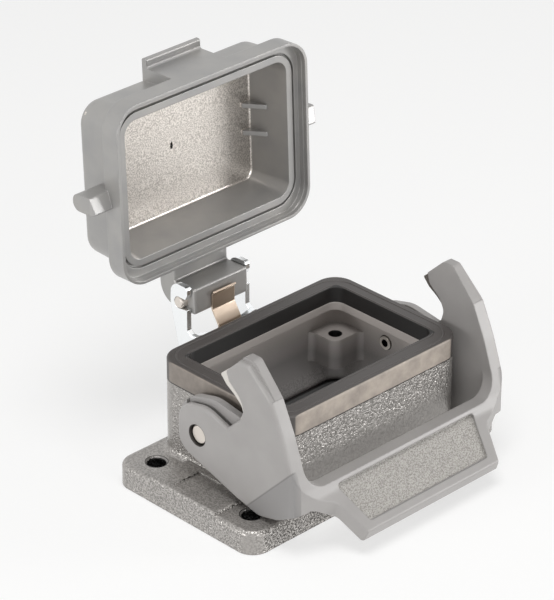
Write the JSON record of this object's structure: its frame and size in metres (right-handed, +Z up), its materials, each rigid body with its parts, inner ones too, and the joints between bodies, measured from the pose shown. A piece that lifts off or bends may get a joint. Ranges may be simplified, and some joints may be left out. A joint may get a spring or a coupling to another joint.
{
  "type": "rectangular connector housing",
  "caption": "Panel-mounted rectangular connector housing with a hooked locking lever, a rubber-capped rim and a hinged metal cover held open.",
  "frame": {"origin": "centre of the mounting hole pattern, on the underside of the flange", "axes": "+X along the long side, -Y towards the lever, +Y towards the cover's hinge, +Z up from the panel"},
  "size_m": [0.0836, 0.09, 0.0912],
  "materials": {
    "housing_paint": "hammered powder coat",
    "cover_paint": "smooth powder coat",
    "lever_grey": "moulded",
    "black_rubber": "matt",
    "stainless": "polished",
    "zinc": "zinc plated",
    "spring_steel": "satin",
    "pin_steel": "turned"
  },
  "bodies": {
    "housing": {"housing": "housing_paint", "rim_cap": "black_rubber", "base_seal": "black_rubber", "pivot_pin_left": "pin_steel", "pivot_pin_right": "pin_steel", "hinge_bracket": "zinc", "leaf_spring": "spring_steel", "bracket_rivets": "pin_steel"},
    "lever": {"lever": "lever_grey", "hook_plate_left": "stainless", "hook_plate_right": "stainless"},
    "cover": {"cover": "cover_paint", "hinge_pin": "pin_steel"}
  },
  "joints": [
    {"name": "lever_pivot", "type": "hinge", "parent": "housing", "child": "lever", "pos_m": [0, 0.0017, 0.0193], "axis": [1, 0, 0], "range_deg": [-26, 0]},
    {"name": "cover_hinge", "type": "hinge", "parent": "housing", "child": "cover", "pos_m": [0, 0.03445, 0.0319], "axis": [1, 0, 0], "range_deg": [0, 92.5], "deforming": ["leaf_spring"]}
  ]
}
